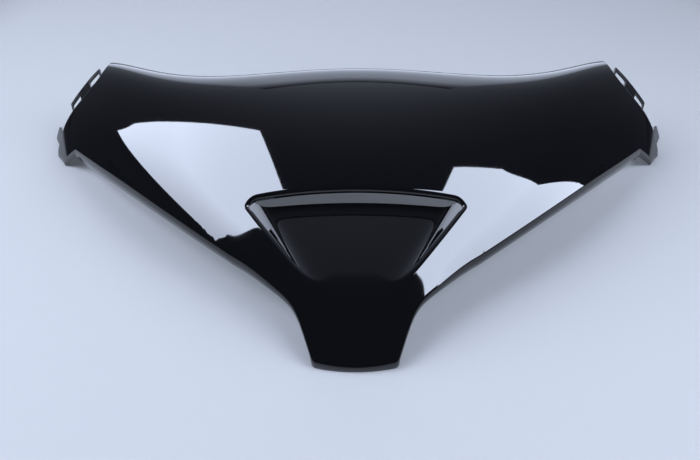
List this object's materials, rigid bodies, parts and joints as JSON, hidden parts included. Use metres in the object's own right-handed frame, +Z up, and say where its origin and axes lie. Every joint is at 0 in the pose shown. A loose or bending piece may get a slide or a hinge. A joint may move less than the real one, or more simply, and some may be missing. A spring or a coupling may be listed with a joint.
{
  "type": "motorcycle fairing",
  "caption": "Gloss black moulded scooter front panel: crowned skin with swept wings and a short stem, a ramped intake scoop under a turned lip, and slotted end tabs.",
  "frame": {"origin": "centre of the footprint, on the level the panel rests on", "axes": "+X across the panel from wing to wing, +Y from the stem to the rolled top edge, +Z up from the surface it lies on"},
  "size_m": [0.636, 0.3236, 0.1293],
  "materials": {
    "gloss_black_abs": "high gloss moulded black ABS"
  },
  "bodies": {
    "root": {"fairing_panel": "gloss_black_abs"}
  },
  "joints": []
}
